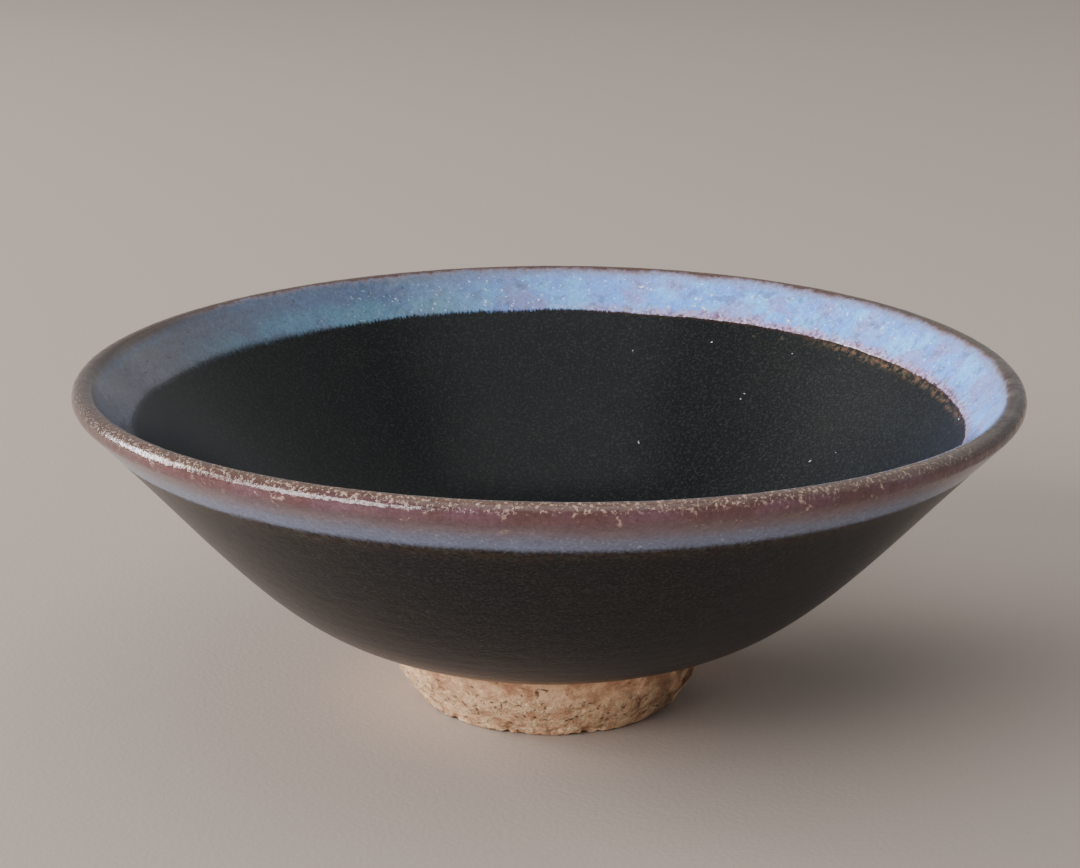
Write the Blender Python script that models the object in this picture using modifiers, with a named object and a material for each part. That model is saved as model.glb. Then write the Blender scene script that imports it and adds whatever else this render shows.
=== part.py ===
"""A wide, shallow stoneware tea bowl (a summer matcha bowl), built up in layers.

Run with: blender --background --python part.py
Units are metres, +Z is up, and the origin is the centre of the foot ring's resting face.

The fired bowl is a thrown clay body, a raw clay foot ring below it, and coats of glaze on the clay: black
inside and outside, opaque blue in a band on each side of the rim, and iron brown over the lip. Nothing moves.
Every coat is a strip of one surface, the glazed surface. Its section starts at the centre of the floor inside,
climbs the wall, turns over the lip and comes down outside to the line where the glaze stops. The clay is the
same section, moved inwards by the thickness of the glaze.
"""

import math

import bpy
from mathutils import Vector

# Driving dimensions
RIM_RADIUS = 0.0775
HEIGHT = 0.0578
FOOT_RADIUS = 0.0226  # outer radius at the resting face
FOOT_HEIGHT = 0.0102
LIP_RADIUS = 0.00185  # the lip is a half round of this radius, so the rim is twice as thick

GLAZE = 0.0005  # thickness of every coat of glaze
GAP = 0.0003  # clearance between neighbouring pieces
TURN_STEPS = 48

# The glazed surface
FLOOR_Z = 0.0140  # inside, at the centre
SHOULDER = Vector((0.0380, 0.0224))  # where the floor inside runs into the wall
SHOULDER_SLOPE = math.radians(28)
WALL_SLOPE = math.radians(46.5)  # of both sides of the wall, just under the lip
BELLY = Vector((0.0334, 0.0141))  # outside, where the glaze stops
BELLY_SLOPE = math.radians(13)

# How far the rim was dipped in blue glaze, and how far the brown of the lip reaches down
BLUE_DEPTH_INSIDE = 0.0076
BLUE_DEPTH_OUTSIDE = 0.0090
LIP_DEPTH_INSIDE = 0.0014
LIP_DEPTH_OUTSIDE = 0.0048

# The foot ring, and the clay body above it and inside its top
FOOT_TOP_RADIUS = 0.0274
FOOT_WAIST = Vector((0.0254, 0.0050))  # the outside leans out slowly above this point, and faster below
FOOT_INNER_RADIUS = 0.0164
FOOT_BEVEL = 0.0008
COVE = Vector((0.0022, 0.0024))  # width and height of the hollow curve from the underside into the foot
BOSS_RADIUS = FOOT_INNER_RADIUS - 0.0010
WELL_Z = 0.0074  # ceiling of the hollow inside the ring
NUB_RADIUS = 0.0030  # the small cone that trimming leaves at the centre of that ceiling
NUB_DROP = 0.0008


def along(point, angle, length):
    """The point at this distance from point, in the direction of an angle above +X."""
    return point + length * Vector((math.cos(angle), math.sin(angle)))


def bezier(start, start_angle, start_pull, end, end_angle, end_pull, steps):
    """Points of a cubic curve from start up to, but not including, end, with its direction given at each end."""
    a, b, c, d = start, along(start, start_angle, start_pull), along(end, end_angle, -end_pull), end
    points = []
    for i in range(steps):
        t = i / steps
        s = 1 - t
        points.append(s**3 * a + 3 * s * s * t * b + 3 * s * t * t * c + t**3 * d)
    return points


def glazed_section():
    """Section of the glazed surface as (radius, height) points, from the floor's centre over the lip to the belly."""
    lip_centre = Vector((RIM_RADIUS - LIP_RADIUS, HEIGHT - LIP_RADIUS))
    lip_inner = along(lip_centre, WALL_SLOPE + math.pi / 2, LIP_RADIUS)
    lip_outer = along(lip_centre, WALL_SLOPE - math.pi / 2, LIP_RADIUS)
    floor = bezier(Vector((0, FLOOR_Z)), 0, 0.016, SHOULDER, SHOULDER_SLOPE, 0.012, 6)
    wall = bezier(SHOULDER, SHOULDER_SLOPE, 0.012, lip_inner, WALL_SLOPE, 0.014, 9)
    lip_steps = 8
    lip = [
        along(lip_centre, WALL_SLOPE + math.pi * (0.5 - i / lip_steps), LIP_RADIUS)
        for i in range(lip_steps)
    ]
    down, inwards = WALL_SLOPE + math.pi, BELLY_SLOPE + math.pi
    outside = bezier(lip_outer, down, 0.0245, BELLY, inwards, 0.0145, 12)
    return floor + wall + lip + outside + [BELLY]


def offset(section, depth):
    """The section moved into the clay, which lies on the right of its direction, by depth."""
    moved = []
    for i, point in enumerate(section):
        before, after = section[max(i - 1, 0)], section[min(i + 1, len(section) - 1)]
        direction = (after - before).normalized()
        if i == 0:
            direction = Vector((1, 0))  # the surface is level on the axis
        moved.append(point + depth * Vector((direction.y, -direction.x)))
    return moved


def lengths_along(section):
    """The distance of each point from the section's start, measured along it."""
    total = [0.0]
    for before, after in zip(section, section[1:]):
        total.append(total[-1] + (after - before).length)
    return total


def point_at(section, lengths, where):
    """The section's point at this distance along it."""
    for i, (low, high) in enumerate(zip(lengths, lengths[1:])):
        if where <= high:
            return section[i].lerp(section[i + 1], (where - low) / (high - low))
    return section[-1]


def distance_at_height(section, lengths, height, inside):
    """The distance along the section at which the wall, inside or outside, is at this height."""
    top = max(range(len(section)), key=lambda i: section[i].y)
    stretch = range(top) if inside else range(top, len(section) - 1)
    for i in stretch:
        low, high = section[i].y, section[i + 1].y
        if min(low, high) <= height <= max(low, high):
            return lengths[i] + (height - low) / (high - low) * (lengths[i + 1] - lengths[i])
    raise ValueError("the wall doesn't reach this height")


def coat_outline(section, start, end):
    """Outline of a coat of glaze on the section between two distances along it."""
    lengths = lengths_along(section)
    under = offset(section, GLAZE)
    inner = [i for i, length in enumerate(lengths) if start < length < end]
    surface = [point_at(section, lengths, start), *(section[i] for i in inner), point_at(section, lengths, end)]
    back = [point_at(under, lengths, start), *(under[i] for i in inner), point_at(under, lengths, end)]
    return surface + back[::-1]


def clay_outline(section):
    """Outline of the clay body: the glazed surface moved in, then the raw clay down to the foot and its hollow."""
    skin = offset(section, GLAZE + GAP)
    seat = Vector((FOOT_TOP_RADIUS, FOOT_HEIGHT + GAP))
    inwards, down = BELLY_SLOPE + math.pi, math.radians(-100)
    cove = bezier(seat + COVE, inwards, COVE.x / 2, seat, down, COVE.y / 2, 4)
    hollow = [
        seat,
        Vector((BOSS_RADIUS, seat.y)),
        Vector((BOSS_RADIUS, WELL_Z)),
        Vector((NUB_RADIUS, WELL_Z)),
        Vector((0, WELL_Z - NUB_DROP)),
    ]
    return skin + cove + hollow


def foot_outline():
    """Outline of the foot ring: a tapered wall with bevelled edges, standing on a flat ring."""
    return [
        Vector((FOOT_TOP_RADIUS, FOOT_HEIGHT)),
        FOOT_WAIST,
        Vector((FOOT_RADIUS + FOOT_BEVEL / 2, FOOT_BEVEL)),
        Vector((FOOT_RADIUS - FOOT_BEVEL, 0)),
        Vector((FOOT_INNER_RADIUS + FOOT_BEVEL, 0)),
        Vector((FOOT_INNER_RADIUS, FOOT_BEVEL)),
        Vector((BOSS_RADIUS + GAP, WELL_Z)),
        Vector((BOSS_RADIUS + GAP, FOOT_HEIGHT)),
    ]


def material(name, colour, roughness):
    """An opaque, non-metallic material of one colour."""
    made = bpy.data.materials.new(name)
    made.use_nodes = True
    shader = made.node_tree.nodes["Principled BSDF"]
    shader.inputs["Base Color"].default_value = (*colour, 1)
    shader.inputs["Roughness"].default_value = roughness
    shader.inputs["Metallic"].default_value = 0
    return made


def turned(name, outline, closed, finish, collection):
    """A piece turned about Z from its outline, which is a loop, or which starts and ends on the axis."""
    mesh = bpy.data.meshes.new(name)
    edges = [(i, i + 1) for i in range(len(outline) - 1)]
    if closed:
        edges.append((len(outline) - 1, 0))
    mesh.from_pydata([(point.x, 0, point.y) for point in outline], edges, [])
    mesh.materials.append(finish)
    piece = bpy.data.objects.new(name, mesh)
    collection.objects.link(piece)
    screw = piece.modifiers.new("turn", "SCREW")
    screw.axis = "Z"
    screw.angle = math.tau
    screw.steps = screw.render_steps = TURN_STEPS
    screw.use_merge_vertices = True
    screw.merge_threshold = 0.00001
    screw.use_smooth_shade = True
    return piece


def main():
    for old in list(bpy.data.objects):
        bpy.data.objects.remove(old)
    bowl = bpy.data.collections.new("matcha_bowl")
    bpy.context.scene.collection.children.link(bowl)

    raw_clay = material("raw_clay", (0.45, 0.28, 0.15), 0.85)
    black = material("black_glaze", (0.012, 0.013, 0.013), 0.22)
    blue = material("blue_glaze", (0.25, 0.33, 0.46), 0.25)
    brown = material("lip_glaze", (0.16, 0.075, 0.045), 0.3)

    section = glazed_section()
    lengths = lengths_along(section)
    half = GAP / 2
    blue_in = distance_at_height(section, lengths, HEIGHT - BLUE_DEPTH_INSIDE, True)
    lip_in = distance_at_height(section, lengths, HEIGHT - LIP_DEPTH_INSIDE, True)
    lip_out = distance_at_height(section, lengths, HEIGHT - LIP_DEPTH_OUTSIDE, False)
    blue_out = distance_at_height(section, lengths, HEIGHT - BLUE_DEPTH_OUTSIDE, False)

    turned("clay_body", clay_outline(section), False, raw_clay, bowl)
    turned("foot_ring", foot_outline(), True, raw_clay, bowl)
    coats = [
        ("black_glaze_inside", 0, blue_in - half, black),
        ("blue_glaze_inside", blue_in + half, lip_in - half, blue),
        ("lip_glaze", lip_in + half, lip_out - half, brown),
        ("blue_glaze_outside", lip_out + half, blue_out - half, blue),
        ("black_glaze_outside", blue_out + half, lengths[-1], black),
    ]
    for name, start, end, finish in coats:
        turned(name, coat_outline(section, start, end), start > 0, finish, bowl)


main()
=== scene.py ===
"""Looks of the stoneware tea bowl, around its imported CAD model.

Lengths in this script are millimetres until a mesh, a light or the camera is made. The bowl's section is one
curve: it starts at the centre of the floor inside, climbs the wall, turns over the lip and comes down
outside. Every coat of glaze is a closed skin on that curve. Angles go round the bowl from +X, and the front
is at -Y.
"""

import math

import bpy
import numpy as np
from mathutils import Matrix, Vector, noise


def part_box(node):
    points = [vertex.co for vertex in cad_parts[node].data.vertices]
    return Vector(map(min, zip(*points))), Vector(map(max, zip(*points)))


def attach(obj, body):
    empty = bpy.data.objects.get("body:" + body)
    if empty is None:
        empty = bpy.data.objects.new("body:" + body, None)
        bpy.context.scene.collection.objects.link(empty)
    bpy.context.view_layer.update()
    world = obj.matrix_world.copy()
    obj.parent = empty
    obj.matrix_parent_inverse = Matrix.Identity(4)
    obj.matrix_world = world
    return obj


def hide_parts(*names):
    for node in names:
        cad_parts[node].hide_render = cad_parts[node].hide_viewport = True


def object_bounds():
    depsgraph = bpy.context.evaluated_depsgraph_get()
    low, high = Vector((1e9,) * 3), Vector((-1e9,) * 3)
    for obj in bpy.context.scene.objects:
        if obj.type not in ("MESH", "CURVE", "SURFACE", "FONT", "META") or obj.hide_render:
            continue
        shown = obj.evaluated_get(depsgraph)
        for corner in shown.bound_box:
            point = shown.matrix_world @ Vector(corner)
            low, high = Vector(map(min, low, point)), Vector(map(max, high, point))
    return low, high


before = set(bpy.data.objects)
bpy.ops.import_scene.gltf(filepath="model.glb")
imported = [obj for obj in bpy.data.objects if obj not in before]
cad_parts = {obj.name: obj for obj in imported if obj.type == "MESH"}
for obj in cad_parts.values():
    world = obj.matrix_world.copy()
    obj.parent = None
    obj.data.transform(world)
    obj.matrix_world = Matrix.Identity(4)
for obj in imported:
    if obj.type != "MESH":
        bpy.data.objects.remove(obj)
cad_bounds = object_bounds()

MM = 0.001
SEGMENTS = 720
ANGLES = np.arange(SEGMENTS) * math.tau / SEGMENTS

# The frame's driving dimensions
RIM = cad_bounds[1].x / MM
TOP = cad_bounds[1].z / MM
FOOT_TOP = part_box("foot_ring")[1].x / MM
FOOT_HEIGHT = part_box("foot_ring")[1].z / MM
BLUE_IN_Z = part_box("blue_glaze_inside")[0].z / MM
BLUE_OUT_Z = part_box("blue_glaze_outside")[0].z / MM

# The section
LIP = 1.85
LIP_INSET = 0.06  # leaves room inside the frame for the lumps of the lip
WARP = (-0.39, 0.32)  # the rim isn't level: cosine and sine of twice the angle
RIM_HEIGHT = TOP - LIP_INSET - math.hypot(*WARP)
WALL_SLOPE = math.radians(46.5)
BELLY = (33.4, 14.35)
BELLY_SLOPE = math.radians(13)
SHOULDER = (38.0, 22.4)
SHOULDER_SLOPE = math.radians(28)
FLOOR_Z = 14.0

# Relief of the thrown surface
RING_PITCH = 2.9
RING_HEIGHT_IN = 0.004
RING_HEIGHT_OUT = 0.012
SWELL_HEIGHT = 0.07
RIPPLE_HEIGHT = 0.012
WAVE_RADIUS = 40.0  # of the ring on which the noise of a wandering edge is read

# The coats of glaze
COAT = 0.5
AXIS_HOLE = 0.3  # radius of the row of points next to the axis
COAT_ROWS = {
    "black_glaze_inside": 110,
    "blue_glaze_inside": 64,
    "lip_glaze": 60,
    "blue_glaze_outside": 52,
    "black_glaze_outside": 110,
}
BACK_ROWS = 9
BLUE_LIFT = 0.04  # the blue lies on the black, and thicker at the right
BLUE_LIFT_RIGHT = 0.10
BLACK_LAP = 1.6  # how far the black runs on under the blue, and how deep its edge dips there
BLACK_DIP = 0.15
LIP_START = -1.6  # of the coat over the lip, from the crest
LIP_END = 5.6
LIP_LAP_IN = 1.8  # how far the blue runs on under the coat over the lip
LIP_LAP_OUT = 2.6
BUBBLE_HEIGHT = 0.03  # of the bumps in the blue inside
LIP_GRAIN = 0.012
ROLL_HEIGHT = 0.10  # of the roll of black glaze above its lower edge
BLUE_SINK_IN = 0.01  # how far the blue's thinner part lies below the section
BLUE_SINK_OUT = 0.02
FOOT_LINE = 1.0  # how far before the section's end the black stops outside, and how much nearer at the right
FOOT_LINE_TILT = 0.5
NO_LINE = 9.0  # stands for the distance to the blue's border where a surface is hidden

# The raw clay under the bowl
COVE = (2.2, 2.4)
FOOT_BASE = 22.6
FOOT_WAIST = (25.5, 5.0)
FOOT_INNER = 16.4
FOOT_LEAN = math.radians(248)  # direction of its outside, coming down: at its top, at the waist, at its base
FOOT_FLARE = math.radians(241)
FOOT_HEEL = math.radians(238)
FOOT_CORE = math.radians(93)  # direction of its inside, going up
FOOT_OFFSET = (0.3, 0.8)  # its base was trimmed off centre
WELL_Z = 7.4
WELL_CORNER = 12.6  # radius at which the foot's rounded inner corner ends, just inside the clay body
WELL_EDGE = 15.5  # radius at which the clay body's ceiling starts, hidden behind that corner
BORE = 15.8  # radius of the hidden step between the ceiling and the underside
NUB = (3.0, 0.8)
GRAIN_HEIGHT = 0.05
LUMP_HEIGHT = 0.12
TEAR_DEPTH = 0.35
CHIP_DEPTH = 0.8
TRIM_PITCH = 1.1
TRIM_HEIGHT = 0.05
HIDDEN_DEPTH = 0.25  # of the clay under the glaze's back
RAW_START = 4.5  # the worked clay starts this far before the section's end
RAW_TUCK = 0.08  # and this far into the glaze's back
FOOT_ROWS = 132
HIDDEN_ROWS = 24
UNDER_ROWS = 58
CEILING_ROWS = 50


def srgb(red, green, blue):
    """A colour given as 0 to 255 on a screen, as the linear colour that Blender works in."""
    bands = [c / 255 for c in (red, green, blue)]
    linear = [c / 12.92 if c <= 0.04045 else ((c + 0.055) / 1.055) ** 2.4 for c in bands]
    return (*linear, 1)


# Colours of the rim's glaze, by distance in mm from the lip's crest: negative inside, positive outside
RIM_STOPS = [
    (-12.0, srgb(98, 152, 244)),
    (-7.0, srgb(106, 162, 250)),
    (-3.4, srgb(112, 154, 234)),
    (-2.0, srgb(128, 142, 186)),
    (-1.2, srgb(120, 106, 118)),
    (-0.6, srgb(78, 58, 54)),
    (0.0, srgb(84, 64, 56)),
    (0.5, srgb(102, 77, 67)),
    (1.1, srgb(94, 69, 61)),
    (1.8, srgb(84, 52, 50)),
    (3.2, srgb(98, 67, 69)),
    (4.6, srgb(114, 92, 96)),
    (6.2, srgb(122, 110, 120)),
    (8.2, srgb(118, 124, 148)),
    (10.8, srgb(114, 128, 160)),
    (12.6, srgb(102, 106, 128)),
]
PALE_BLUE = srgb(118, 190, 255)
LAVENDER = srgb(142, 138, 200)
# Slate: painted shade on the inner band's left, the side away from the light
SLATE_PAINTED_SHADE = srgb(84, 97, 116)
LIP_BROWN = srgb(72, 54, 46)
# Grey at the inner band's far left: partly the glaze's own grey, partly painted shade
LEFT_GREY_AND_SHADE = srgb(96, 94, 100)
TEAL = srgb(92, 138, 158)
SPECK = srgb(226, 240, 255)
DUSK = srgb(100, 108, 146)
MAUVE = srgb(112, 78, 98)
PIT = srgb(44, 50, 66)
TAN = srgb(230, 196, 170)
IRON = srgb(50, 28, 23)
OLIVE_GREY = srgb(68, 62, 52)
FRINGE_PINK = srgb(180, 148, 172)
FRINGE_RED = srgb(116, 66, 62)
BLACK = srgb(8, 11, 13)
BLACK_GREEN = srgb(12, 16, 16)
BLACK_BLUE = srgb(6, 9, 18)
BLACK_OLIVE = srgb(12, 14, 13)
ASH = srgb(47, 49, 48)
AMBER = srgb(108, 80, 62)
OLIVE = srgb(58, 56, 41)
CLAY = srgb(212, 164, 130)
CLAY_PALE = srgb(250, 208, 168)
CLAY_SAND = srgb(255, 236, 192)
CLAY_RUST = srgb(158, 100, 74)
CLAY_IRON = srgb(70, 36, 24)
# Painted shade in the foot's holes and cracks
CLAY_HOLE_SHADE = srgb(84, 56, 40)
FLOOR_COLOUR = srgb(168, 155, 146)

# The black reflects little, and the iron over the lip most
GLAZE_IOR = {
    "black_glaze_inside": 1.30,
    "blue_glaze_inside": 1.5,
    "lip_glaze": 1.6,
    "blue_glaze_outside": 1.5,
    "black_glaze_outside": 1.25,
}
BLUE_ROUGHNESS = 0.13
BLACK_ROUGHNESS_LEFT = 0.28  # inside
BLACK_ROUGHNESS_RIGHT = 0.42
BLACK_ROUGHNESS_OUT = 0.25
BLACK_RELIEF_IN = 0.5  # shares of the bumps' depth
BLACK_RELIEF_OUT = 1.6
GLAZE_BUMP = 0.055
LIP_BUMP = 0.13
CLAY_ROUGHNESS = 0.9
CLAY_BUMP = 0.32
CLAY_IOR = 1.3

FLOOR_SIZE = 6.0  # metres
FLOOR_ROUGHNESS = 0.8
FLOOR_BUMP = 0.05
FLOOR_IOR = 1.3

# The camera, aimed at the axis
CAMERA_SENSOR = 36
CAMERA_LENS = 73.33
CAMERA_PITCH = math.radians(16.28)
CAMERA_ROLL = math.radians(0.23)
CAMERA_SIDE = -1.456
CAMERA_AIM_Z = 44.978
CAMERA_DISTANCE = 366.975
CAMERA_CLIP = (0.01, 20)  # metres

# The lights as seen from the bowl: azimuth and elevation, width and height, in degrees, radiance and colour
LIGHT_DISTANCE = 2.0  # metres
DAYLIGHT = (1.0, 0.98, 0.96)
LIGHTS = {
    "window": ((162, 19), (21, 21), 24.0, DAYLIGHT),
    "transom": ((174, 33), (16, 6), 7.0, DAYLIGHT),
    "side_window": ((216, 27), (42, 22), 13.0, (1.0, 0.99, 0.98)),
    "ceiling": ((270, 79), (46, 44), 1.0, (0.95, 0.99, 1.0)),
    "backdrop": ((35, 42), (70, 40), 0.3, (1.0, 0.98, 0.95)),
}
ROOM_COLOUR = (0.97, 0.98, 1.0, 1)
ROOM_RADIANCE = 0.42


def unit(angle):
    """The vector of length 1 in this direction."""
    return np.array([math.cos(angle), math.sin(angle)])


def bezier(start, start_angle, start_pull, end, end_angle, end_pull, steps=160):
    """Points of a cubic curve from start to end, with its direction given at each end."""
    a, d = np.array(start, float), np.array(end, float)
    b, c = a + start_pull * unit(start_angle), d - end_pull * unit(end_angle)
    t = np.linspace(0, 1, steps)[:, None]
    s = 1 - t
    return s**3 * a + 3 * s * s * t * b + 3 * s * t * t * c + t**3 * d


def arc(centre, radius, start_angle, end_angle, steps=60):
    """Points of an arc, whose ends lie in these directions from its centre."""
    angles = np.linspace(start_angle, end_angle, steps)
    return np.array(centre) + radius * np.stack([np.cos(angles), np.sin(angles)], 1)


class Section:
    """A curve in the plane of radius and height, whose left side is the surface's outside."""

    def __init__(self, *parts):
        points = np.concatenate(parts)
        keep = np.concatenate([[True], np.hypot(*np.diff(points, axis=0).T) > 1e-6])
        self.points = points[keep]
        steps = np.hypot(*np.diff(self.points, axis=0).T)
        self.lengths = np.concatenate([[0], np.cumsum(steps)])
        tangents = np.gradient(self.points, self.lengths, axis=0)
        tangents /= np.hypot(*tangents.T)[:, None]
        self.normals = np.stack([-tangents[:, 1], tangents[:, 0]], 1)
        self.end = self.lengths[-1]
        self.crest = self.lengths[self.points[:, 1].argmax()]

    def _read(self, table, u):
        return [np.interp(u, self.lengths, table[:, k]) for k in (0, 1)]

    def point(self, u):
        return self._read(self.points, u)

    def normal(self, u):
        return self._read(self.normals, u)

    def at_height(self, height, inside):
        """The distance along the curve at which the wall, inside or outside, is at this height."""
        side = self.lengths < self.crest if inside else self.lengths > self.crest
        order = np.argsort(self.points[side, 1])
        return np.interp(height, self.points[side, 1][order], self.lengths[side][order])


def glazed_section():
    """The section of the glazed surface, from the floor's centre over the lip to the belly."""
    centre = np.array([RIM - LIP_INSET - LIP, RIM_HEIGHT - LIP])
    inner = centre + LIP * unit(WALL_SLOPE + math.pi / 2)
    outer = centre + LIP * unit(WALL_SLOPE - math.pi / 2)
    return Section(
        bezier((0, FLOOR_Z), 0, 16, SHOULDER, SHOULDER_SLOPE, 12),
        bezier(SHOULDER, SHOULDER_SLOPE, 12, inner, WALL_SLOPE, 14),
        arc(centre, LIP, WALL_SLOPE + math.pi / 2, WALL_SLOPE - math.pi / 2),
        bezier(outer, WALL_SLOPE + math.pi, 24.5, BELLY, BELLY_SLOPE + math.pi, 14.5),
    )


def smooth(value, low, high):
    """0 below low, 1 above high, and smooth in between."""
    t = np.clip((value - low) / (high - low), 0, 1)
    return t * t * (3 - 2 * t)


def noise_at(points, size, seed=0):
    """Smooth noise between -1 and 1, with features of about this size, at each of the points."""
    shifted = points / size + np.array([17.3, -9.1, 4.7]) * (seed + 1)
    flat = [noise.noise(p) for p in shifted.reshape(-1, 3).tolist()]
    return np.array(flat).reshape(points.shape[:-1])


def wave(size, amplitude, seed):
    """Noise round the bowl, for an edge that wanders: one value for each angle."""
    ring = np.stack([WAVE_RADIUS * np.cos(ANGLES), WAVE_RADIUS * np.sin(ANGLES), 0 * ANGLES], 1)
    return amplitude * noise_at(ring, size, seed)


def place(radius, height):
    """Points in space from arrays of radius and height, one column for each angle."""
    return np.stack([radius * np.cos(ANGLES), radius * np.sin(ANGLES), height + 0 * ANGLES], -1)


def warped(points):
    """The points with the rim's slow rise and fall, which dies away towards the foot."""
    angle = np.arctan2(points[..., 1], points[..., 0])
    share = (points[..., 2] / RIM_HEIGHT) ** 2
    moved = points.copy()
    moved[..., 2] += (WARP[0] * np.cos(2 * angle) + WARP[1] * np.sin(2 * angle)) * share
    return moved


def spaced(count, crowding=0.7):
    """Numbers from 0 to 1, closer together at both ends."""
    t = np.linspace(0, 1, count)
    return (1 - crowding) * t + crowding * (0.5 - 0.5 * np.cos(math.pi * t))


def rounded(distance, width, drop):
    """How far a coat's rounded edge drops, this far in from the edge."""
    t = 1 - np.clip(distance / width, 0, 1)
    return -drop * (1 - np.sqrt(1 - t * t))


def dipped(distance, width, drop):
    """How far a coat's hidden edge dips under its neighbour."""
    return -drop * (1 - smooth(distance, 0, width))


def turned_mesh(name, grid, attributes, poles):
    """A mesh from a grid of points: rows along the section, which is a loop, or runs from pole to pole."""
    rows = grid.shape[0]
    index = np.arange(rows * SEGMENTS).reshape(rows, SEGMENTS)
    after = np.roll(index, -1, axis=1)
    last = rows - 1 if poles else rows
    above, above_after = np.roll(index, -1, axis=0), np.roll(after, -1, axis=0)
    faces = np.stack([index, above, above_after, after], -1)[:last].reshape(-1, 4).tolist()
    points = grid.reshape(-1, 3).tolist()
    if poles:
        first_pole, last_pole = len(points), len(points) + 1
        points += [grid[0].mean(0).tolist(), grid[-1].mean(0).tolist()]
        faces += [(first_pole, a, b) for a, b in zip(index[0].tolist(), after[0].tolist())]
        faces += [(a, last_pole, b) for a, b in zip(index[-1].tolist(), after[-1].tolist())]
    mesh = bpy.data.meshes.new(name)
    mesh.from_pydata((np.array(points) * MM).tolist(), [], faces)
    for key, values in attributes.items():
        flat = np.zeros(len(points), np.float32)
        flat[: rows * SEGMENTS] = values.ravel()
        mesh.attributes.new(key, "FLOAT", "POINT").data.foreach_set("value", flat)
    mesh.shade_smooth()
    return mesh


def piece(name, grid, material, attributes=None, poles=False):
    """An object of the bowl in place of the CAD node whose name it takes, with a suffix."""
    mesh = turned_mesh(name + "_fired", warped(grid), attributes or {}, poles)
    mesh.materials.append(material)
    made = bpy.data.objects.new(mesh.name, mesh)
    bpy.context.scene.collection.objects.link(made)
    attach(made, "root")
    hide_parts(name)


# ---- The glazed surface and its coats


def surface(section, u, height):
    """Points this high above the section, at distances u along it."""
    radius, z = section.point(u)
    out, up = section.normal(u)
    return place(radius + height * out, z + height * up)


def relief(section, u):
    """Height of the thrown surface's unevenness: the spiral left by the fingers, and slow and fine swells."""
    points = surface(section, u, 0)
    from_crest = u - section.crest
    from_lip = np.abs(from_crest)
    ring_height = RING_HEIGHT_IN + (RING_HEIGHT_OUT - RING_HEIGHT_IN) * smooth(from_crest, 14, 34)
    spiral = np.sin(math.tau * u / RING_PITCH + ANGLES + 2.5 * noise_at(points, 30, 1))
    rings = ring_height * spiral * (0.6 + 0.6 * noise_at(points, 18, 5))
    swell = SWELL_HEIGHT * noise_at(points, 26, 2) + RIPPLE_HEIGHT * noise_at(points, 6, 3)
    lip_lumps = LIP_INSET * (0.4 * noise_at(points, 9, 4) + 0.6 * noise_at(points, 2.0, 6))
    return (rings + swell) * smooth(from_lip, 3, 11) + lip_lumps * (1 - smooth(from_lip, 3, 6))


class Borders:
    """Where the coats meet, as distances along the section, one for each angle."""

    def __init__(self, section):
        blue_in = section.at_height(BLUE_IN_Z, inside=True)
        blue_out = section.at_height(BLUE_OUT_Z, inside=False)
        foot = section.end - FOOT_LINE + FOOT_LINE_TILT * np.cos(ANGLES)
        self.blue_in = blue_in + wave(9, 0.30, 1) + wave(2.4, 0.14, 2)
        self.blue_out = blue_out + wave(14, 0.45, 3) + wave(3, 0.14, 4)
        self.foot = foot + wave(12, 0.5, 5) + wave(2.5, 0.25, 7)
        self.lip_in = section.crest + LIP_START + 0 * ANGLES
        self.lip_out = section.crest + LIP_END + 0 * ANGLES

    def into_blue(self, u):
        """How far u is on the blue's side of the nearer of the two borders between blue and black."""
        return np.minimum(u - self.blue_in, self.blue_out - u)


def coat(name, section, borders, start, end, lift):
    """A closed skin of glaze between two distances along the section, one for each angle.

    lift(in_from_start, in_from_end, points) is its height above the section.
    """
    u = start + spaced(COAT_ROWS[name])[:, None] * (end - start)
    base = surface(section, u, 0)
    front = surface(section, u, relief(section, u) + lift(u - start, end - u, base))
    back_u = start + spaced(BACK_ROWS)[::-1, None] * (end - start)
    back = surface(section, back_u, -COAT)
    attributes = {
        "rim": np.concatenate([u, back_u]) - section.crest,
        "line": np.concatenate([borders.into_blue(u), NO_LINE + 0 * back_u]),
    }
    covers_the_axis = name == "black_glaze_inside"
    piece(name, np.concatenate([front, back]), glaze(name), attributes, covers_the_axis)


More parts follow.
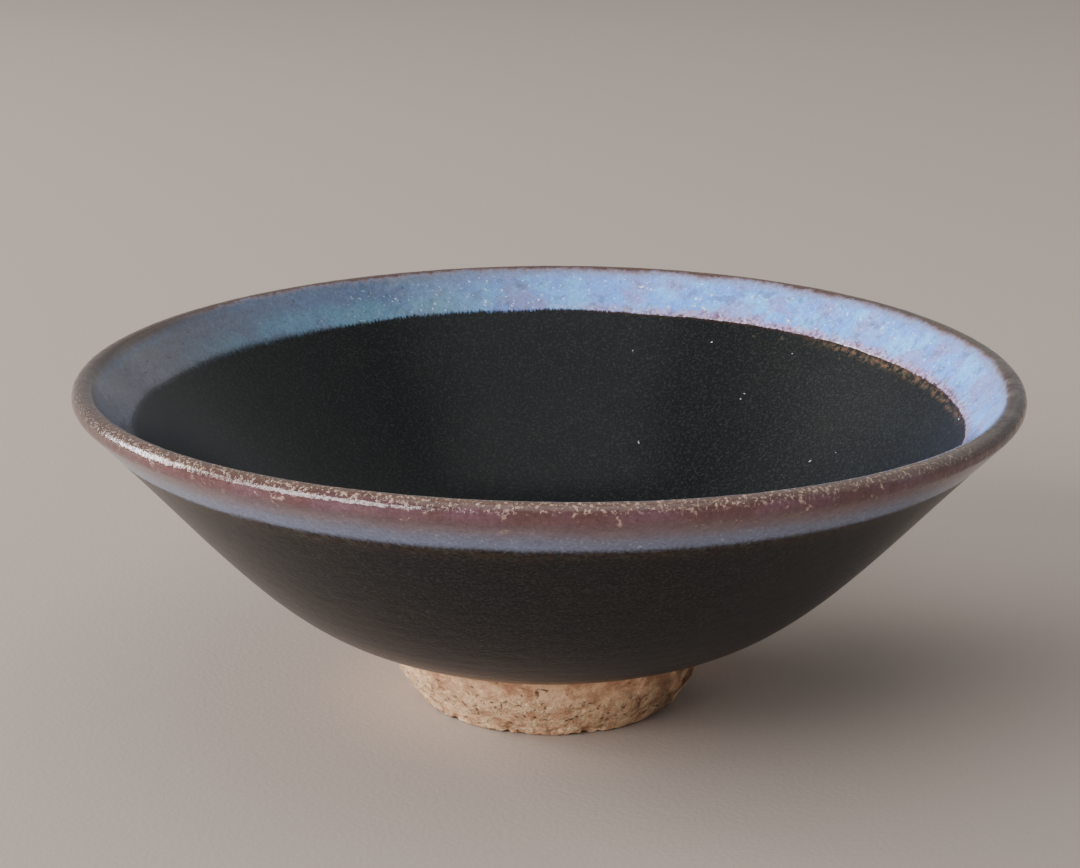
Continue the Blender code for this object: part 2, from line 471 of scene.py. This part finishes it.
def glaze_coats(section):
    """The five coats. Each dips under its neighbour, or ends on it in a rounded edge."""
    borders = Borders(section)
    centre = AXIS_HOLE + 0 * ANGLES
    at_right = smooth(np.cos(ANGLES), 0.0, 0.6) * smooth(np.sin(ANGLES), -0.5, 0.2)
    blue_lift = BLUE_LIFT + BLUE_LIFT_RIGHT * at_right

    def black_inside(from_start, from_end, points):
        return dipped(from_end, BLACK_LAP, BLACK_DIP)

    def blue_inside(from_start, from_end, points):
        bubbles = BUBBLE_HEIGHT * (noise_at(points, 1.1, 8) + noise_at(points, 3, 9))
        body = (blue_lift + bubbles) * smooth(from_end, 1.0, 4.0)
        return body + rounded(from_start, width=0.5, drop=0.05 + blue_lift) - BLUE_SINK_IN

    def over_lip(from_start, from_end, points):
        edges = dipped(from_start, width=1.6, drop=0.05) + dipped(from_end, width=2.2, drop=0.06)
        return edges + LIP_GRAIN * noise_at(points, 0.8, 10)

    def blue_outside(from_start, from_end, points):
        body = BLUE_LIFT * smooth(from_start, 1.5, 4.5)
        return body + rounded(from_end, width=1.2, drop=0.08) - BLUE_SINK_OUT

    def black_outside(from_start, from_end, points):
        roll = ROLL_HEIGHT * smooth(from_end, 0, 0.6) * (1 - smooth(from_end, 1.2, 3.5))
        return dipped(from_start, BLACK_LAP, BLACK_DIP) + rounded(from_end, width=0.7, drop=COAT) + roll

    coats = [
        ("black_glaze_inside", "black_glaze", centre, borders.blue_in + BLACK_LAP, black_inside),
        ("blue_glaze_inside", "blue_glaze", borders.blue_in, borders.lip_in + LIP_LAP_IN, blue_inside),
        ("lip_glaze", "lip_glaze", borders.lip_in, borders.lip_out, over_lip),
        ("blue_glaze_outside", "blue_glaze", borders.lip_out - LIP_LAP_OUT, borders.blue_out, blue_outside),
        ("black_glaze_outside", "black_glaze", borders.blue_out - BLACK_LAP, borders.foot, black_outside),
    ]
    for name, slot, start, end, lift in coats:
        coat(name, section, borders, start, end, lift)


# ---- The raw clay


def grit(points):
    """Unevenness of the raw clay: fine and coarse grains, lumps, and the tears that trimming leaves."""
    grains = GRAIN_HEIGHT * (noise_at(points, 0.7, 20) + 1.4 * noise_at(points, 1.6, 21))
    tears = -TEAR_DEPTH * smooth(noise_at(points, 2.6, 22), 0.28, 0.6)
    return grains + tears + LUMP_HEIGHT * noise_at(points, 6, 23)


def foot_wander():
    """How far the hand-trimmed foot stands out from its circle, at each angle."""
    return FOOT_OFFSET[0] * np.cos(ANGLES) + FOOT_OFFSET[1] * np.sin(ANGLES) + wave(14, 0.3, 30)


def foot_ring(clay):
    """The ring, tapered and chipped outside, with a rounded corner to the ceiling of its hollow."""
    top, base = (FOOT_TOP + 0.5, FOOT_HEIGHT + 1.2), (FOOT_BASE + 0.2, 0.7)
    section = Section(
        bezier(top, FOOT_LEAN, 2.0, FOOT_WAIST, FOOT_FLARE, 2.0),
        bezier(FOOT_WAIST, FOOT_FLARE, 1.5, base, FOOT_HEEL, 1.5),
        bezier(base, FOOT_HEEL, 0.4, (FOOT_BASE - 0.8, 0), math.pi, 0.4),
        np.array([(FOOT_BASE - 1.0, 0), (FOOT_INNER + 1.2, 0)]),
        bezier((FOOT_INNER + 0.9, 0), math.pi, 0.5, (FOOT_INNER - 0.1, 1.1), FOOT_CORE, 0.5),
        bezier((FOOT_INNER - 0.1, 1.1), FOOT_CORE, 4.5, (WELL_CORNER, WELL_Z + 0.1), math.pi, 1.8),
    )
    u = section.end * np.linspace(0, 1, FOOT_ROWS)[:, None] + 0 * ANGLES
    radius, z = section.point(u)
    moved = smooth(FOOT_HEIGHT - z, 1, 9) * foot_wander()
    out, up = section.normal(u)
    points = place(radius, z)
    chips = -CHIP_DEPTH * smooth(noise_at(points, 2.2, 25), 0.12, 0.6) * (1 - smooth(z, 0.3, 2.4))
    rough = grit(points) * smooth(u, 0.5, 3) * smooth(section.end - u, 0.1, 2.5) + chips * smooth(u, 2, 5)
    shown = place(radius + moved + rough * out, np.maximum(z + rough * up, 0))
    hidden = [(13.5, WELL_Z + 0.8), (FOOT_TOP - 1.5, FOOT_HEIGHT + 1.8)]
    back = np.stack([place(r + 0 * ANGLES, h + 0 * ANGLES) for r, h in hidden])
    piece("foot_ring", np.concatenate([shown, back]), clay)


def clay_body(section, clay):
    """The clay under the glaze, plain where it is hidden, and worked where the raw underside shows."""
    hidden_end = section.end - RAW_START - 0.5
    hidden_u = np.linspace(AXIS_HOLE, hidden_end, HIDDEN_ROWS)[:, None] + 0 * ANGLES
    hidden = surface(section, hidden_u, -COAT - HIDDEN_DEPTH)
    edge_radius, edge_z = section.point(section.end - RAW_START)
    out, up = section.normal(section.end - RAW_START)
    depth = COAT - RAW_TUCK
    under_glaze = (edge_radius - depth * out, edge_z - depth * up)
    inwards = BELLY_SLOPE + math.pi
    seat = np.array([FOOT_TOP, FOOT_HEIGHT])
    shoulder = seat + COVE
    under = Section(
        bezier(under_glaze, inwards + math.radians(6), 2.5, shoulder, inwards, 2.5),
        bezier(shoulder, inwards, COVE[0] / 2, seat, FOOT_LEAN, COVE[1] / 2),
        bezier(seat, FOOT_LEAN, 0.4, seat - (1.2, 1.4), FOOT_LEAN, 0.4),
    )
    nub_edge = (NUB[0] + 2, WELL_Z)
    ceiling = Section(
        np.array([(WELL_EDGE, WELL_Z + 0.2), (NUB[0] + 2.5, WELL_Z)]),
        bezier(nub_edge, math.pi, 1.6, (0.25, WELL_Z - NUB[1]), math.pi, 1.0),
    )
    bore = place(BORE + 0 * ANGLES, FOOT_HEIGHT - 1.5 + 0 * ANGLES)[None]
    raw = [worked_clay(under, UNDER_ROWS), bore, worked_clay(ceiling, CEILING_ROWS)]
    piece("clay_body", np.concatenate([hidden, *raw]), clay, poles=True)


def worked_clay(section, rows):
    """Rows of a raw clay surface, with the fine spiral of the trimming tool."""
    u = section.end * np.linspace(0, 1, rows)[:, None] + 0 * ANGLES
    points = surface(section, u, 0)
    spiral = np.sin(math.tau * u / TRIM_PITCH + ANGLES)
    trimming = TRIM_HEIGHT * spiral * (0.6 + 0.4 * noise_at(points, 8, 26))
    height = (trimming + 0.6 * grit(points)) * smooth(u, 0, 1.5) * smooth(section.end - u, 0, 1.2)
    return surface(section, u, height)


# ---- Materials
# A mask is a share from 0 to 1. Where a pattern takes a shift, it only picks another part of the same noise.


class Material:
    """A material, and its nodes as they are added. Its points are in millimetres."""

    def __init__(self, name):
        self.made = bpy.data.materials.new(name)
        self.made.use_nodes = True
        self.tree = self.made.node_tree
        self.shader = self.tree.nodes["Principled BSDF"]
        coordinates = self.tree.nodes.new("ShaderNodeTexCoord")
        self.point = self.vector("SCALE", coordinates.outputs["Object"], {3: 1 / MM})
        axes = self.tree.nodes.new("ShaderNodeSeparateXYZ")
        self.tree.links.new(self.point, axes.inputs[0])
        self.x, self.y, self.z = axes.outputs

    def node(self, kind, inputs, output=0, **settings):
        """A new node's output. inputs maps a socket's name or number to a value or another node's output."""
        made = self.tree.nodes.new("ShaderNode" + kind)
        for key, value in settings.items():
            setattr(made, key, value)
        for key, value in inputs.items():
            self.feed(made.inputs[key], value)
        return made.outputs[output]

    def feed(self, socket, value):
        if isinstance(value, bpy.types.NodeSocket):
            self.tree.links.new(value, socket)
        else:
            socket.default_value = value

    def math(self, operation, *values):
        return self.node("Math", dict(enumerate(values)), operation=operation)

    def times(self, first, *others):
        """The product of the values."""
        for other in others:
            first = self.math("MULTIPLY", first, other)
        return first

    def plus(self, first, *others):
        """The sum of the values."""
        for other in others:
            first = self.math("ADD", first, other)
        return first

    def larger(self, first, second):
        return self.math("MAXIMUM", first, second)

    def linear(self, value, factor, offset):
        """The value times a factor, plus an offset."""
        return self.math("MULTIPLY_ADD", value, factor, offset)

    def vector(self, operation, value, others):
        return self.node("VectorMath", {0: value, **others}, operation=operation)

    def attribute(self, name):
        return self.node("Attribute", {}, "Fac", attribute_name=name)

    def down_the_wall(self, rim, slowness):
        """A place on the glaze for streaks that run down the wall: changes along it count this much less."""
        flat = self.vector("MULTIPLY", self.point, {1: (1, 1, 0)})
        round_the_bowl = self.vector("SCALE", self.vector("NORMALIZE", flat, {}), {3: RIM})
        down = self.node("CombineXYZ", {2: self.times(rim, slowness)})
        return self.vector("ADD", round_the_bowl, {1: down})

    def noise(self, size, detail=3.0, rough=0.5, shift=0.0, at=None):
        """Fractal noise around 0.5, with features of about this size."""
        moved = self.vector("ADD", at or self.point, {1: (shift,) * 3})
        inputs = {"Vector": moved, "Scale": 1 / size, "Detail": detail, "Roughness": rough}
        return self.node("TexNoise", inputs)

    def patches(self, size, low, high, detail=3.0, rough=0.5, shift=0.0):
        """Soft patches: 0 where the noise is below low, 1 where it is above high."""
        return self.span(self.noise(size, detail, rough, shift), low, high)

    def spots(self, spacing, radius, share, shift=0.0):
        """1 inside scattered uneven spots, 0 outside: only this share of the cells holds one."""
        moved = self.vector("ADD", self.point, {1: (shift,) * 3})
        stir = self.node("TexNoise", {"Vector": moved, "Scale": 3 / spacing, "Detail": 1.0}, "Color")
        stirred = self.vector("MULTIPLY_ADD", stir, {1: (0.8 * spacing,) * 3, 2: moved})
        inputs = {"Vector": stirred, "Scale": 1 / spacing}
        near = self.node("TexVoronoi", inputs, "Distance")
        cell = self.node("TexVoronoi", inputs, "Color")
        chosen = self.math("LESS_THAN", self.node("SeparateColor", {0: cell}), share)
        return self.times(self.span(near, radius / spacing, 0.4 * radius / spacing), chosen)

    def span(self, value, low, high):
        """0 at low, 1 at high, and smooth in between."""
        inputs = {"Value": value, "From Min": low, "From Max": high}
        return self.node("MapRange", inputs, interpolation_type="SMOOTHSTEP")

    def mix(self, share, a, b):
        """A colour between two colours."""
        return self.node("Mix", {0: share, 6: a, 7: b}, 2, data_type="RGBA")

    def blend(self, share, a, b):
        """A number between two numbers."""
        return self.node("Mix", {0: share, 2: a, 3: b})

    def mottled(self, colour, size, amount, shift=0.0):
        """The colour, up to this share darker or lighter from grain to grain."""
        inputs = {"Value": self.noise(size, 4, 0.8, shift), "From Min": 0.35, "From Max": 0.65}
        grain = self.node("MapRange", {**inputs, "To Min": 1 - amount, "To Max": 1 + amount})
        return self.vector("SCALE", colour, {3: grain})

    def ramp(self, value, stops):
        """A colour for the value: stops are (value, colour), from low to high."""
        low, high = stops[0][0], stops[-1][0]
        share = self.node("MapRange", {"Value": value, "From Min": low, "From Max": high})
        made = self.tree.nodes.new("ShaderNodeValToRGB")
        self.tree.links.new(share, made.inputs[0])
        elements = made.color_ramp.elements
        while len(elements) < len(stops):
            elements.new(0.5)
        for element, (where, colour) in zip(elements, stops):
            element.position = (where - low) / (high - low)
            element.color = colour
        return made.outputs[0]

    def bump(self, height, depth, normal=None):
        """A bump of this depth in millimetres."""
        inputs = {"Height": height, "Distance": depth * MM, "Strength": 1.0}
        if normal is not None:
            inputs["Normal"] = normal
        return self.node("Bump", inputs)

    def finish(self, colour, rough, normal, ior):
        self.feed(self.shader.inputs["Base Color"], colour)
        self.feed(self.shader.inputs["Roughness"], rough)
        self.feed(self.shader.inputs["Normal"], normal)
        self.shader.inputs["IOR"].default_value = ior
        return self.made


def rim_place(m, rim):
    """The distance from the crest that the colours follow: ragged, with brown further in at the front."""
    ragged = m.linear(m.noise(1.2, 5, 0.65), 2.2, -1.1)
    drift = m.linear(m.noise(8, 2, 0.5, 5), 2.0, -1.0)
    far_left = m.times(m.span(m.x, -60, -76), 0.8)
    worn = m.times(m.span(m.y, -22, -38), m.span(rim, 0.0, -1.2), 3.0)
    return m.plus(rim, worn, ragged, drift, far_left)


def blue_zones(m, base, rim, where, inside, in_blue):
    """Pale, lavender and dusky patches in the inner band, painted shade in slate towards its left, which
    faces away from the light, grey at its far left, partly its own and partly painted shade, and a teal
    patch.
    """
    base = m.mix(m.times(m.patches(6, 0.45, 0.60, 5, 0.6, 11), in_blue, 0.8), base, PALE_BLUE)
    base = m.mix(m.times(m.patches(7, 0.46, 0.60, 5, 0.65, 23), in_blue, 0.75), base, LAVENDER)
    base = m.mix(m.times(m.patches(3, 0.52, 0.64, 5, 0.65, 71), in_blue, 0.6), base, DUSK)
    # Painted shade: the band darkens to slate towards the left, on the side away from the light
    painted_shade = m.times(m.span(m.x, 20, -36), m.span(where, -0.7, -2.0), inside)
    base = m.mix(m.times(painted_shade, 0.9), base, SLATE_PAINTED_SHADE)
    # Greyer at the far left: partly the glaze's own grey, partly painted shade
    base = m.mix(m.times(m.span(m.x, -44, -70), in_blue, 0.8), base, LEFT_GREY_AND_SHADE)
    low = m.times(m.span(rim, -4, -8), m.span(m.x, -8, -24), m.span(m.x, -68, -50), m.span(m.y, 0, 20))
    return m.mix(m.times(low, m.patches(7, 0.3, 0.6, 3, 0.5, 37), in_blue, 0.6), base, TEAL)


def crystals_glints_and_pits(m, inside, blueness):
    """Masks of the white crystals, partly painted glints, which fade out towards the left, and of the dark
    pits in the blue.
    """
    crystals_and_glints = m.larger(m.spots(1.7, 0.36, 0.4), m.spots(0.9, 0.20, 0.45, 3.7))
    crystals_and_glints = m.times(crystals_and_glints, blueness, m.span(m.x, -60, 5), m.linear(inside, 0.7, 0.3))
    pits = m.larger(m.spots(2.6, 0.36, 0.28, 9.1), m.spots(1.1, 0.18, 0.2, 6.3))
    return crystals_and_glints, m.times(pits, blueness)


def lip_colour(m, base, rim):
    """Brown over the lip and mauve below it, with tan bubbles and flakes, whose mask it also gives."""
    on_lip = m.times(m.span(rim, -0.9, -0.1), m.span(rim, 2.6, 1.6))
    bubbles = m.larger(m.spots(0.9, 0.30, 0.6, 5.3), m.patches(0.6, 0.53, 0.64, 3, 0.65, 8.3))
    bubbles = m.times(bubbles, on_lip)
    aside = m.times(m.span(m.math("ABSOLUTE", m.x), 5, 45), 0.6)
    brown_lip = m.larger(m.span(m.y, -52, -28), aside)
    crest = m.times(m.span(rim, -0.8, -0.1), m.span(rim, 2.4, 1.4))
    base = m.mix(m.times(brown_lip, crest, 0.85), base, LIP_BROWN)
    base = m.mix(m.times(bubbles, m.span(brown_lip, 1.2, 0.4), 0.45), base, TAN)
    below = m.times(m.span(rim, 1.0, 2.4), m.span(rim, 8.5, 5.0))
    base = m.mix(m.times(m.patches(9, 0.45, 0.6, 2, 0.5, 73), below, 0.3), base, MAUVE)
    flakes = m.times(m.patches(1.5, 0.56, 0.66, 4, 0.7, 43), m.patches(6, 0.48, 0.62, 2, 0.5, 47))
    flakes = m.times(flakes, m.span(rim, 1.2, 2.4), m.span(rim, 7.0, 4.5))
    base = m.mix(m.times(flakes, 0.5), base, TAN)
    dark = m.times(m.spots(0.8, 0.24, 0.35, 1.9), m.span(rim, -2.4, -0.8), m.span(rim, 5.0, 2.0))
    return m.mix(m.times(dark, 0.6), base, IRON), m.plus(bubbles, flakes)


def lip_sides(m, base, rim):
    """The lip turns olive grey at the right, brown at the far left, and is scorched at the near right."""
    crest = m.times(m.span(rim, -1.8, -0.4), m.span(rim, 3.4, 1.6))
    base = m.mix(m.times(m.span(m.x, 44, 70), crest, 0.7), base, OLIVE_GREY)
    left_lip = m.times(m.span(m.x, -56, -72), m.span(rim, -4.0, -1.0), m.span(rim, 5.0, 2.5))
    base = m.mix(left_lip, base, LIP_BROWN)
    scorched = m.times(m.span(m.x, 55, 62), m.span(m.y, 2, -8), m.span(m.y, -46, -34))
    scorched = m.times(scorched, m.span(rim, -2.0, -1.0), m.span(rim, 5.0, 3.2))
    return m.mix(m.times(scorched, m.patches(4, 0.36, 0.50, 3, 0.6, 53)), base, IRON)


def rim_colour(m, rim):
    """Milky blue that thins through mauve to iron brown over the lip. Also gives its bumps' height."""
    where = rim_place(m, rim)
    blueness = m.larger(m.span(where, -2.0, -3.4), m.span(where, 5.0, 7.5))
    inside = m.span(rim, 0.5, -0.5)
    base = blue_zones(m, m.ramp(where, RIM_STOPS), rim, where, inside, m.times(blueness, inside))
    crystals_and_glints, pits = crystals_glints_and_pits(m, inside, blueness)
    # White specks: partly real crystals, partly painted glints
    base = m.mix(m.times(crystals_and_glints, 0.9), base, SPECK)
    base = m.mix(m.times(pits, 0.75), base, PIT)
    base, raised = lip_colour(m, base, rim)
    base = lip_sides(m, base, rim)
    base = m.mottled(m.mottled(base, 0.5, 0.2, 57), 1.6, 0.12, 59)
    height = m.plus(m.noise(1.0, 3, 0.6, 51), m.times(crystals_and_glints, 0.6), m.times(raised, 0.8))
    return base, m.math("SUBTRACT", height, m.times(pits, 0.9))


def black_colour(m, inside):
    """Satin black, finely speckled: greenish inside, with a few pale grains, and bluish outside."""
    tones = (BLACK, BLACK_GREEN) if inside else (BLACK_BLUE, BLACK_OLIVE)
    base = m.mix(m.patches(12, 0.4, 0.65, 3, 0.5, 7), *tones)
    base = m.mix(m.times(m.patches(0.5, 0.48, 0.66, 4, 0.8), 0.7 if inside else 1.0), base, ASH)
    if inside:
        base = m.mix(m.times(m.spots(5, 0.42, 0.3, 2.2), m.span(m.x, 12, 24), 0.9), base, SPECK)
    return base


def fringe(m, blue, torn, right):
    """The blue, edged at the right with pink and dark red, and with pale beads."""
    beads = m.larger(m.spots(0.8, 0.22, 0.5, 12.1), m.spots(1.3, 0.32, 0.4, 15.7))
    pink = m.mix(m.patches(0.9, 0.46, 0.6, 3, 0.6, 41), FRINGE_PINK, FRINGE_RED)
    pink = m.mix(m.times(beads, 0.8), pink, SPECK)
    reach = m.linear(m.noise(1.6, 4, 0.65, 67), 4.0, -2.0)
    return m.mix(m.times(m.span(m.plus(torn, reach), 2.2, 0.2), right, 0.8), blue, pink)


def below_the_fringe(m, black, torn, right):
    """The black, edged at the right with iron, amber bubbles and grey drops."""
    amber_zone = m.times(m.span(torn, -2.3, -0.9), m.span(m.x, 45, 55), m.span(m.y, -12, 4))
    amber = m.mix(m.patches(1.0, 0.45, 0.6, 3, 0.6, 3), AMBER, OLIVE)
    bubbly = m.times(m.patches(1.3, 0.42, 0.58, 4, 0.65, 29), amber_zone, 0.8)
    lower = m.mix(bubbly, black, amber)
    drops = m.times(m.spots(2.0, 0.45, 0.5, 18.1), m.span(torn, -4.5, -3.0), m.span(m.x, -5, 15))
    lower = m.mix(m.times(drops, 0.6), lower, OLIVE_GREY)
    return m.mix(m.times(m.span(torn, -0.7, -0.2), right, 0.7), lower, IRON)


def inside_border(m, blue, black, torn, streaked):
    """Blue meets black: black hairs run up into it at the left, and a bright fringe edges it at the right."""
    right = m.span(m.x, -12, 26)
    middle = m.span(m.x, -58, -30)
    softness = m.math("SUBTRACT", 1.1, m.plus(m.times(middle, 0.7), m.times(right, 0.3)))
    share = m.span(m.blend(right, streaked, torn), m.times(softness, -1.0), softness)
    return m.mix(share, below_the_fringe(m, black, torn, right), fringe(m, blue, torn, right))


def outside_border(m, blue, black, torn):
    """The blue fades through dark red and olive grains into the black."""
    grains = m.mix(m.patches(1.2, 0.4, 0.6, 3, 0.6, 3), IRON, OLIVE)
    grainy = m.times(m.span(torn, -4.5, -0.6), m.patches(0.8, 0.42, 0.56, 4, 0.7, 13))
    return m.mix(m.span(torn, -0.8, 1.1), m.mix(grainy, black, grains), blue)


def border_place(m, rim, line, inside):
    """The distance into the blue from its border, in two uneven forms: torn, and streaked down the wall."""
    if inside:
        hairs = m.noise(0.45, 4, 0.75, 33, m.down_the_wall(rim, 0.4))
        torn = m.plus(line, m.linear(m.noise(0.9, 4, 0.65, 31), 1.4, -0.9))
        return torn, m.plus(line, m.linear(hairs, 3.0, -1.8))
    hairs = m.noise(0.6, 4, 0.75, 35, m.down_the_wall(rim, 0.9))
    streaked = m.plus(line, m.linear(hairs, 2.6, -1.7))
    return streaked, streaked


def glaze(name):
    """The glaze of one coat. All coats follow one pattern, so that its colours run on across their edges."""
    m = Material(name)
    inside = name.endswith("inside")
    rim, line = m.attribute("rim"), m.attribute("line")
    torn, streaked = border_place(m, rim, line, inside)
    blue, blue_height = rim_colour(m, rim)
    black = black_colour(m, inside)
    if inside:
        base = inside_border(m, blue, black, torn, streaked)
        black_rough = m.blend(m.span(m.x, 20, 66), BLACK_ROUGHNESS_LEFT, BLACK_ROUGHNESS_RIGHT)
    else:
        base = outside_border(m, blue, black, torn)
        black_rough = BLACK_ROUGHNESS_OUT
    in_blue = m.span(torn, -0.2, 0.3)
    black_height = m.linear(m.noise(2.4, 2, 0.5, 19), 0.8, m.noise(0.55, 3, 0.6, 17))
    black_height = m.times(black_height, BLACK_RELIEF_IN if inside else BLACK_RELIEF_OUT)
    normal = m.bump(m.blend(in_blue, black_height, blue_height), GLAZE_BUMP)
    if name == "lip_glaze":
        normal = m.bump(m.noise(2.2, 3, 0.55, 61), LIP_BUMP, normal)
    return m.finish(base, m.blend(in_blue, black_rough, BLUE_ROUGHNESS), normal, GLAZE_IOR[name])


def raw_clay():
    """Sandy stoneware: tan grains, with iron specks, painted shade in its tears and holes, browner beside the
    glaze, and darker at the right front with iron smudges and painted shade.
    """
    m = Material("raw_clay")
    base = m.mix(m.patches(2.4, 0.40, 0.60, 4, 0.6), CLAY, CLAY_PALE)
    coarse = m.times(m.patches(1.0, 0.48, 0.62, 4, 0.7, 5), m.span(m.z, 10.0, 6.5))
    base = m.mix(m.times(coarse, 0.7), base, CLAY_SAND)
    base = m.mix(m.times(m.patches(3.5, 0.52, 0.66, 3, 0.5, 9), 0.35), base, CLAY_RUST)
    brown = m.larger(m.spots(1.9, 0.42, 0.4), m.spots(3.6, 0.6, 0.45, 7.7))
    base = m.mix(m.times(brown, 0.8), base, CLAY_IRON)
    # Darker at the right front: iron smudges, and painted shade on the side away from the light
    iron_and_painted_shade = m.times(m.span(m.x, 6, 26), m.span(m.y, 10, -4), m.patches(4, 0.30, 0.60, 4, 0.6, 27))
    base = m.mix(m.times(iron_and_painted_shade, 0.84), base, CLAY_IRON)
    radius = m.math("SQRT", m.plus(m.times(m.x, m.x), m.times(m.y, m.y)))
    flash = m.span(m.plus(radius, m.noise(1.5, 3, 0.6, 3)), 32.0, 34.0)
    base = m.mix(m.times(flash, 0.7), base, CLAY_IRON)
    upright = m.vector("MULTIPLY", m.point, {1: (1, 1, 0.45)})
    cracks = m.span(m.noise(1.1, 4, 0.7, 15, upright), 0.60, 0.68)
    # Painted shade darkens the holes and cracks, which the bump also presses in
    holes_with_painted_shade = m.times(m.larger(m.spots(1.3, 0.36, 0.35, 4.4), cracks), m.span(m.z, 9.5, 6.5))
    base = m.mottled(m.mix(m.times(holes_with_painted_shade, 0.8), base, CLAY_HOLE_SHADE), 0.6, 0.2, 63)
    grains = m.linear(coarse, 0.5, m.noise(0.6, 4, 0.7, 21))
    height = m.math("SUBTRACT", grains, m.times(holes_with_painted_shade, 1.2))
    return m.finish(base, CLAY_ROUGHNESS, m.bump(height, CLAY_BUMP), CLAY_IOR)


# ---- Stage, lights and camera


def floor():
    bpy.ops.mesh.primitive_plane_add(size=FLOOR_SIZE)
    made = bpy.context.object
    made.name = "floor"
    m = Material("floor")
    normal = m.bump(m.noise(0.9, 2, 0.5), FLOOR_BUMP)
    made.data.materials.append(m.finish(FLOOR_COLOUR, FLOOR_ROUGHNESS, normal, FLOOR_IOR))


def softbox(name, direction, spread, radiance, colour):
    """A rectangular light that faces the bowl, from this direction and this large as seen from the bowl."""
    azimuth, elevation = (math.radians(angle) for angle in direction)
    level = math.cos(elevation)
    towards = Vector((level * math.cos(azimuth), level * math.sin(azimuth), math.sin(elevation)))
    data = bpy.data.lights.new(name, "AREA")
    data.shape = "RECTANGLE"
    data.size, data.size_y = (2 * LIGHT_DISTANCE * math.tan(math.radians(angle / 2)) for angle in spread)
    data.energy = radiance * math.pi * data.size * data.size_y
    data.color = colour
    made = bpy.data.objects.new(name, data)
    made.location = LIGHT_DISTANCE * towards
    made.rotation_mode = "QUATERNION"
    made.rotation_quaternion = (-towards).to_track_quat("-Z", "Y")
    bpy.context.scene.collection.objects.link(made)


def lighting():
    for name, light in LIGHTS.items():
        softbox(name, *light)
    world = bpy.data.worlds.new("room")
    world.use_nodes = True
    background = world.node_tree.nodes["Background"]
    background.inputs["Color"].default_value = ROOM_COLOUR
    background.inputs["Strength"].default_value = ROOM_RADIANCE
    bpy.context.scene.world = world


def camera():
    """The camera looks down at the bowl from the front, turned by CAMERA_ROLL about its own axis."""
    data = bpy.data.cameras.new("camera")
    data.sensor_width = CAMERA_SENSOR
    data.lens = CAMERA_LENS
    made = bpy.data.objects.new("camera", data)
    right = Vector((1, 0, 0))
    up = Vector((0, math.sin(CAMERA_PITCH), math.cos(CAMERA_PITCH)))
    back = Vector((0, -math.cos(CAMERA_PITCH), math.sin(CAMERA_PITCH)))
    place_mm = Vector((CAMERA_SIDE, 0, CAMERA_AIM_Z)) + CAMERA_DISTANCE * back
    turned = Matrix.Rotation(CAMERA_ROLL, 3, back)
    axes = Matrix((turned @ right, turned @ up, back)).transposed()
    made.matrix_world = Matrix.Translation(place_mm * MM) @ axes.to_4x4()
    data.clip_start, data.clip_end = CAMERA_CLIP
    bpy.context.scene.collection.objects.link(made)
    bpy.context.scene.camera = made


def main():
    section = glazed_section()
    clay = raw_clay()
    glaze_coats(section)
    clay_body(section, clay)
    foot_ring(clay)
    floor()
    lighting()
    camera()


main()
